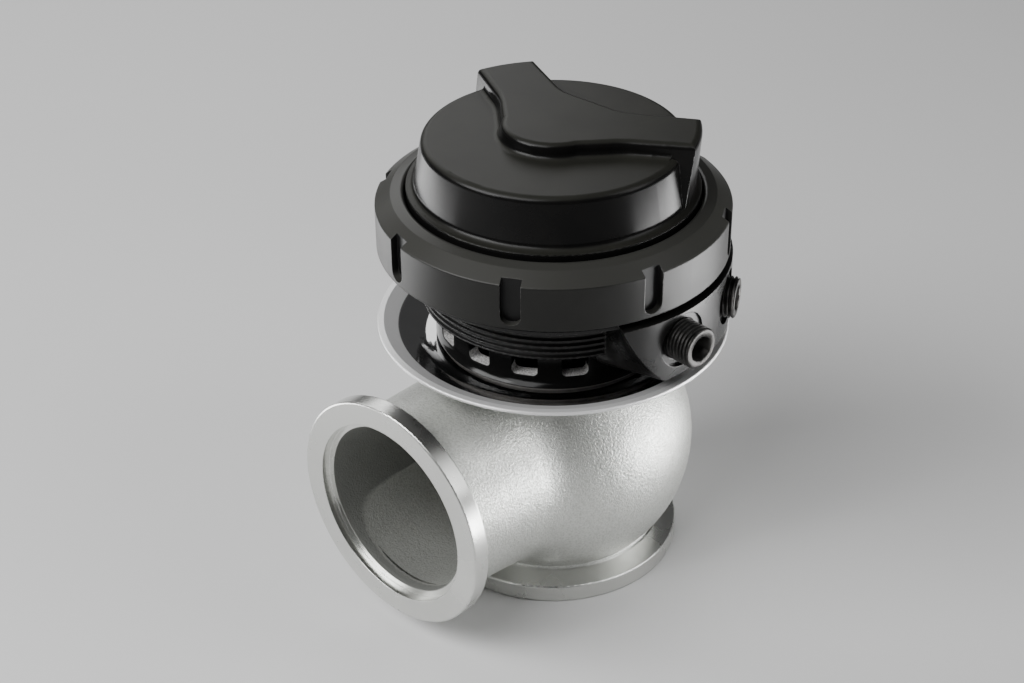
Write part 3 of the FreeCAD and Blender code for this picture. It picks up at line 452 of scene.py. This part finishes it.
def windowed_anodised():
    """Black anodising, rubbed down to bare milled aluminium on the sills of the windows."""
    material, tree, shader, place = new_material("windowed_anodised", Specular_IOR_Level=0.26)
    height = z_of(tree, place)
    radius = from_axis(tree, place)
    wear = place_group(tree, edge_wear_and_highlight, {"Vector": place, "Width": 0.25 * mm})
    colour, marks = anodised_colour(tree, place, wear, grey(0.006), grey(0.009, 0.04))
    barrel = steps(tree, radius, cage_radius + 1.5 * mm, cage_radius + 0.5 * mm)
    colour = blends(tree, barrel, colour, grey(0.0035))
    inside = steps(tree, radius, cage_radius - 0.15 * mm, cage_radius - 0.25 * mm)
    outer = steps(tree, radius, cage_inner_radius + 0.1 * mm, cage_inner_radius + 0.2 * mm)
    above = steps(tree, height, window_sill - 0.1 * mm, window_sill)
    below = steps(tree, height, bare_top + 0.6 * mm, bare_top)
    in_wall = sums(tree, "MULTIPLY", inside, outer)
    bare = sums(tree, "MULTIPLY", in_wall, sums(tree, "MULTIPLY", above, below))
    skin_rough = between(tree, marks["Cloud"], 0.25, 0.33)
    skin_rough = between(tree, barrel, skin_rough, 0.17)
    rough = between(tree, bare, skin_rough, 0.6)
    milled = steps(tree, marks["Height"], 0.35, 0.65)
    bright = blends(tree, milled, grey(0.85, 0.01), grey(0.42, 0.02))
    feed(tree, shader, Base_Color=blends(tree, bare, colour, bright), Roughness=rough,
         Metallic=sums(tree, "MULTIPLY", bare, 0.5),
         Normal=anodised_normal(tree, place, marks, wear, 0.10, 0.12))
    return material


def dark_steel():
    """Blackened steel of the port plugs, worn bright on crests and corners."""
    material, tree, shader, place = new_material("dark_steel", Metallic=1.0)
    marks = place_group(tree, speckle, {"Vector": place, "Grain": 2400.0, "Cloud": 260.0})
    wear = place_group(tree, edge_wear_and_highlight, {"Vector": place, "Width": 0.2 * mm})
    base = blends(tree, marks["Cloud"], grey(0.022, 0.02), grey(0.05, 0.03))
    worn = sums(tree, "MULTIPLY", wear["Mask"], 0.45)
    feed(tree, shader, Base_Color=blends(tree, worn, base, grey(0.20, 0.01)),
         Roughness=between(tree, marks["Cloud"], 0.42, 0.52),
         Normal=bumped(tree, marks["Height"], 0.12, 0.03 * mm, wear["Normal"]))
    return material


def zinc_steel():
    """Zinc plated steel with a faint warm bloom."""
    return turned_metal("zinc_steel", grey(0.55, 0.05), grey(0.7), 0.3)


def soft_material(name, light, dark, rough, grain=1800.0):
    """Rubber, fibre, graphite or polymer: matt, mottled and finely grained."""
    material, tree, shader, place = new_material(name)
    marks = place_group(tree, speckle, {"Vector": place, "Grain": grain, "Cloud": 110.0})
    wear = place_group(tree, edge_wear_and_highlight, {"Vector": place, "Width": 0.2 * mm})
    base = blends(tree, marks["Cloud"], dark, light)
    feed(tree, shader, Base_Color=blends(tree, sums(tree, "MULTIPLY", wear["Mask"], 0.4), base, light),
         Roughness=between(tree, marks["Height"], rough - 0.1, rough + 0.1),
         Normal=bumped(tree, marks["Height"], 0.3, 0.04 * mm, wear["Normal"]))
    return material


materials = {
    "cast_stainless": cast_stainless(),
    "turned_stainless": turned_metal("turned_stainless", grey(0.55, 0.02), grey(0.75), 0.25),
    "polished_stainless": polished_stainless(),
    "cap_anodised": cap_anodised(),
    "collar_anodised": collar_anodised(),
    "windowed_anodised": windowed_anodised(),
    "plain_aluminium": turned_metal("plain_aluminium", grey(0.75, 0.005), grey(0.85), 0.28),
    "bronze": turned_metal("bronze", (0.55, 0.34, 0.15, 1.0), (0.8, 0.55, 0.28, 1.0), 0.3),
    "graphite": soft_material("graphite", grey(0.09), grey(0.04), 0.5),
    "gasket_fibre": soft_material("gasket_fibre", grey(0.16, 0.05), grey(0.09, 0.05), 0.8),
    "black_steel": dark_steel(),
    "zinc_steel": zinc_steel(),
    "spring_steel": turned_metal("spring_steel", grey(0.35, 0.03), grey(0.6), 0.35),
    "seal_rubber": soft_material("seal_rubber", grey(0.035), grey(0.02), 0.6),
    "diaphragm_rubber": soft_material("diaphragm_rubber", (0.05, 0.045, 0.04, 1.0), grey(0.025),
                                      0.65, 900.0),
    "slip_polymer": soft_material("slip_polymer", grey(0.75, 0.03), grey(0.6, 0.05), 0.4),
}


# Frame pieces that keep their solid

finishes = {
    "valve_body": "cast_stainless",
    "valve_seat": "turned_stainless",
    "valve": "turned_stainless",
    "valve_guide": "bronze",
    "stem_scraper": "graphite",
    "heat_shield": "polished_stainless",
    "base_gasket": "gasket_fibre",
    "actuator_housing": "windowed_anodised",
    "stem_seal": "seal_rubber",
    "seal_retainer": "turned_stainless",
    "housing_screws": "black_steel",
    "screw_washers": "zinc_steel",
    "locating_pin": "turned_stainless",
    "diaphragm": "diaphragm_rubber",
    "lower_plate": "plain_aluminium",
    "upper_plate": "plain_aluminium",
    "plate_washer": "zinc_steel",
    "stem_nut": "zinc_steel",
    "cap": "cap_anodised",
    "cap_o_ring": "seal_rubber",
    "slip_ring": "slip_polymer",
    "spring_seat": "plain_aluminium",
    "outer_spring": "spring_steel",
    "middle_spring": "spring_steel",
    "inner_spring": "spring_steel",
    "locking_collar": "collar_anodised",
    "front_port_plug": "black_steel",
    "side_port_plug": "black_steel",
}


def dress(obj, name):
    """Gives a piece one material."""
    obj.data.materials.clear()
    obj.data.materials.append(materials[name])


for node_name, finish in finishes.items():
    dress(nodes[node_name], finish)


# Shape helpers

def mesh_of(shape, name):
    """Mesh made from a bmesh, which is freed."""
    mesh = bpy.data.meshes.new(name)
    shape.to_mesh(mesh)
    shape.free()
    return mesh


def new_object(name, data):
    """Object in the scene that shows a mesh, a light or a camera."""
    piece = bpy.data.objects.new(name, data)
    bpy.context.scene.collection.objects.link(piece)
    return piece


def finished(shape, name, finish, sharp=35.0):
    """Named object made from a bmesh, smooth except along its sharp edges."""
    for face in shape.faces:
        face.smooth = True
    mesh = mesh_of(shape, name)
    mesh.set_sharp_from_angle(angle=math.radians(sharp))
    piece = new_object(name, mesh)
    dress(piece, finish)
    return piece


def everything(shape):
    """All geometry of a bmesh."""
    return shape.verts[:] + shape.edges[:] + shape.faces[:]


def spin(shape, geometry, turns, count, rise=0.0, merge=False):
    """Spins geometry about the valve axis in count steps while it climbs, and returns the last copy."""
    return bmesh.ops.spin(shape, geom=geometry, cent=(0.0, 0.0, 0.0), axis=(0.0, 0.0, 1.0),
                          dvec=(0.0, 0.0, rise / count), angle=math.tau * turns, steps=count,
                          use_merge=merge)["geom_last"]


def spiral_ridge(profile, turns, rise, turn_steps=96):
    """Closed solid: a face in the XZ plane spun about the valve axis while it climbs."""
    shape = bmesh.new()
    shape.faces.new([shape.verts.new((radius, 0.0, height)) for radius, height in profile])
    spin(shape, everything(shape), turns, round(turns * turn_steps), rise)
    bmesh.ops.recalc_face_normals(shape, faces=shape.faces)
    return shape


def revolved(profile, turn_steps=128):
    """Closed ring or disc: a closed outline spun once about the valve axis."""
    shape = bmesh.new()
    points = [shape.verts.new((radius, 0.0, height)) for radius, height in profile]
    outline = [shape.edges.new(pair) for pair in zip(points, points[1:] + points[:1])]
    spin(shape, points + outline, 1, turn_steps, merge=True)
    bmesh.ops.recalc_face_normals(shape, faces=shape.faces)
    return shape


def threaded_rod(crest, depth, pitch, length, turn_steps=48):
    """Closed rod along Z with a right-hand thread, its middle at the origin."""
    turns = round(length / pitch) + 4
    root = crest - depth
    base = -turns * pitch / 2
    shape = bmesh.new()
    points = [shape.verts.new((radius, 0.0, base + share * pitch))
              for radius, share in ((root, 0.0), (root, 0.12), (crest, 0.44), (crest, 0.68), (root, 1.0))]
    outline = [shape.edges.new(pair) for pair in zip(points, points[1:])]
    spin(shape, points + outline, turns, turn_steps * turns, pitch * turns)
    bmesh.ops.remove_doubles(shape, verts=shape.verts, dist=0.001 * mm)
    open_edges = [edge for edge in shape.edges if edge.is_boundary]
    for side in (-1, 1):
        rim = [edge for edge in open_edges if side * (edge.verts[0].co.z + edge.verts[1].co.z) > 0]
        made = bmesh.ops.extrude_edge_only(shape, edges=rim)["geom"]
        tips = [item for item in made if isinstance(item, bmesh.types.BMVert)]
        bmesh.ops.pointmerge(shape, verts=tips, merge_co=(0.0, 0.0, side * (length / 2 + 3 * pitch)))
    bmesh.ops.recalc_face_normals(shape, faces=shape.faces)
    return shape


def trimmed(shape, node):
    """Bmesh of what lies inside a frame node's solid."""
    solid = bmesh.new()
    solid.from_mesh(nodes[node].data)
    bmesh.ops.remove_doubles(solid, verts=solid.verts, dist=0.0005 * mm)
    helpers = [new_object("helper", mesh_of(source, "helper")) for source in (shape, solid)]
    trim = helpers[0].modifiers.new("trim", "BOOLEAN")
    trim.operation = "INTERSECT"
    trim.solver = "EXACT"
    trim.object = helpers[1]
    ready = helpers[0].evaluated_get(bpy.context.evaluated_depsgraph_get())
    mesh = bpy.data.meshes.new_from_object(ready)
    result = bmesh.new()
    result.from_mesh(mesh)
    for helper in helpers:
        bpy.data.objects.remove(helper)
    bpy.data.meshes.remove(mesh)
    return result


# Pieces that are modelled here

def threaded_plug(node):
    """Port plug with its thread, in place of the plain one."""
    low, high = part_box(node)
    middle = (low + high) / 2
    angle = math.atan2(middle.y, middle.x)
    rod = threaded_rod(plug_thread_radius + 0.03 * mm, plug_thread_depth, plug_thread_pitch,
                       (high - low).length)
    lay = Matrix.Rotation(angle, 4, "Z") @ Matrix.Rotation(math.pi / 2, 4, "Y")
    bmesh.ops.transform(rod, matrix=Matrix.Translation(middle) @ lay, verts=rod.verts)
    plug = finished(trimmed(rod, node), node + "_threaded", "black_steel", 30.0)
    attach(plug, "housing")
    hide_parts(node)


def cup_thread():
    """Fine external thread of the cup that the collar screws on."""
    inner, crest = cup_radius - 0.1 * mm, cup_radius + cup_thread_height
    low, high = cup_thread_low, cup_thread_low + cup_tooth_width
    turns = (cup_thread_high - cup_thread_low) / cup_thread_pitch
    tooth = ((inner, low), (cup_radius, low), (crest, low + cup_tooth_flank),
             (crest, high - cup_tooth_flank), (cup_radius, high), (inner, high))
    ridge = spiral_ridge(tooth, turns, cup_thread_high - high)
    piece = finished(ridge, "cup_thread", "windowed_anodised")
    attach(piece, "housing")


def coil_spring(node):
    """Compression spring with closed, ground ends."""
    mean_radius, wire_radius, active_turns = spring_sizes[node]
    low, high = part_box(node)
    ground = 2 * wire_radius * ground_share
    travel = (high.z - low.z) - 2 * (wire_radius - ground)
    shape = bmesh.new()
    ring = bmesh.ops.create_circle(shape, cap_ends=True, segments=14, radius=wire_radius)["verts"]
    bmesh.ops.rotate(shape, verts=ring, cent=(0.0, 0.0, 0.0), matrix=Matrix.Rotation(math.pi / 2, 3, "X"))
    bmesh.ops.translate(shape, verts=ring, vec=(mean_radius, 0.0, low.z + wire_radius - ground))
    closed_rise = travel * closed_rise_share
    last = everything(shape)
    for turns, rise in ((closed_turns, closed_rise), (active_turns, travel - 2 * closed_rise),
                        (closed_turns, closed_rise)):
        last = spin(shape, last, turns, round(turns * coil_steps), rise)
    for height, direction in ((low.z, -1.0), (high.z, 1.0)):
        cut = bmesh.ops.bisect_plane(shape, geom=everything(shape), plane_co=(0.0, 0.0, height),
                                     plane_no=(0.0, 0.0, direction), clear_outer=True)["geom_cut"]
        rim = [item for item in cut if isinstance(item, bmesh.types.BMEdge) and item.is_boundary]
        bmesh.ops.holes_fill(shape, edges=rim)
    bmesh.ops.recalc_face_normals(shape, faces=shape.faces)
    spring = finished(shape, node + "_coil", "spring_steel")
    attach(spring, "spring_cap")
    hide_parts(node)
    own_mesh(spring)


def moulded_diaphragm():
    """Diaphragm as a web on the valve, a clamped bead and a roll between them, made of sectors."""
    low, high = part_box("diaphragm")
    web_high = web_low + rubber_thickness
    wall_high = high.z - bead_lip
    hole, inner, outer = stem_hole_radius, plate_edge_radius, rolling_wall_radius
    web = finished(revolved([(hole, web_low), (inner, web_low), (inner, web_high), (hole, web_high)]),
                   "diaphragm_web", "diaphragm_rubber")
    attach(web, "valve_train")
    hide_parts("diaphragm")
    bead = finished(revolved([(outer, bead_low), (high.x, bead_low), (high.x, high.z),
                              (bead_step_radius, high.z), (bead_step_radius, wall_high), (outer, wall_high)]),
                    "diaphragm_bead", "diaphragm_rubber")
    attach(bead, "housing")
    roll_high = low.z + rubber_thickness
    wide = fold_share * (outer - inner)
    tight = wide - rubber_thickness
    outline = [(inner, web_high, 0.0), (inner, low.z, wide), (outer, low.z, wide), (outer, wall_high, 0.0),
               (outer - rubber_thickness, wall_high, 0.0), (outer - rubber_thickness, roll_high, tight),
               (inner + rubber_thickness, roll_high, tight), (inner + rubber_thickness, web_high, 0.0)]
    for i in range(roll_sectors):
        shape = bmesh.new()
        corners = [shape.verts.new((radius, 0.0, height)) for radius, height, fold in outline]
        shape.faces.new(corners)
        folds = [(corner, fold) for corner, (radius, height, fold) in zip(corners, outline) if fold]
        for corner, fold in folds:
            bmesh.ops.bevel(shape, geom=[corner], offset=fold, segments=5, profile=0.5, affect="VERTICES",
                            material=-1)
        start = math.tau * (i - 0.5) / roll_sectors
        bmesh.ops.rotate(shape, verts=shape.verts, cent=(0.0, 0.0, 0.0),
                         matrix=Matrix.Rotation(start, 3, "Z"))
        spin(shape, everything(shape), 1 / roll_sectors, sector_steps)
        bmesh.ops.recalc_face_normals(shape, faces=shape.faces)
        roll = finished(shape, "diaphragm_roll_%d" % (i + 1), "diaphragm_rubber")
        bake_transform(roll)


threaded_plug("front_port_plug")
threaded_plug("side_port_plug")
cup_thread()
for spring_name in spring_sizes:
    coil_spring(spring_name)
moulded_diaphragm()


# Floor, lights and camera

def floor():
    """Plain pale floor."""
    shape = bmesh.new()
    bmesh.ops.create_grid(shape, x_segments=1, y_segments=1, size=4.0)
    piece = new_object("floor", mesh_of(shape, "floor"))
    material, tree, shader, place = new_material("pale_floor", Roughness=0.7)
    cloud = add(tree, "TexNoise", {"Vector": place, "Scale": 3.0, "Detail": 3.0}).outputs["Fac"]
    feed(tree, shader, Base_Color=blends(tree, cloud, grey(0.62), grey(0.68)))
    piece.data.materials.append(material)


def direction(azimuth, elevation):
    """Unit vector from the part to a place round it; azimuth 0 is in front, on the side of -Y."""
    return Vector((math.sin(azimuth) * math.cos(elevation), -math.cos(azimuth) * math.cos(elevation),
                   math.sin(elevation)))


def soft_light(name, azimuth, elevation, distance, size, power, aim=0.06, spread=180.0):
    """Softbox that looks at the valve axis at the height aim."""
    lamp = bpy.data.lights.new(name, "AREA")
    lamp.shape = "RECTANGLE"
    lamp.size, lamp.size_y = size
    lamp.energy = power
    lamp.spread = math.radians(spread)
    away = direction(math.radians(azimuth), math.radians(elevation))
    piece = new_object(name, lamp)
    piece.location = Vector((0.0, 0.0, aim)) + away * distance
    piece.rotation_euler = away.to_track_quat("Z", "Y").to_euler()
    piece.visible_camera = False


def studio():
    """Pale surroundings, four large softboxes and two low boards beside the part."""
    world = bpy.data.worlds.new("studio")
    bpy.context.scene.world = world
    world.use_nodes = True
    world.node_tree.nodes["Background"].inputs["Color"].default_value = (0.5, 0.5, 0.505, 1.0)
    world.node_tree.nodes["Background"].inputs["Strength"].default_value = 0.16
    soft_light("key", -25.0, 38.0, 0.9, (0.5, 0.4), 8.0)
    soft_light("front", 8.0, 50.0, 0.9, (0.4, 0.4), 3.8)
    soft_light("right", 118.0, 38.0, 0.8, (0.3, 0.5), 1.6)
    soft_light("back", -116.0, 32.0, 0.8, (0.6, 0.4), 1.8)
    soft_light("left_board", -66.0, -26.0, 0.19, (0.22, 0.09), 0.10, 0.1, 80.0)
    soft_light("right_board", 128.0, -26.0, 0.19, (0.16, 0.09), 0.26, 0.1, 80.0)


def camera():
    """Camera at the photograph's angle."""
    away = direction(camera_azimuth, camera_elevation)
    right = Vector((math.cos(camera_azimuth), math.sin(camera_azimuth), 0.0))
    up = away.cross(right)
    rolled_right = right * math.cos(camera_roll) + up * math.sin(camera_roll)
    rolled_up = up * math.cos(camera_roll) - right * math.sin(camera_roll)
    lens = bpy.data.cameras.new("camera")
    lens.sensor_width = sensor_width
    lens.lens = focal_pixels * sensor_width / photo_width
    piece = new_object("camera", lens)
    turn = Matrix((rolled_right, rolled_up, away)).transposed()
    piece.matrix_world = Matrix.Translation(camera_place) @ turn.to_4x4()
    bpy.context.scene.camera = piece


floor()
studio()
camera()
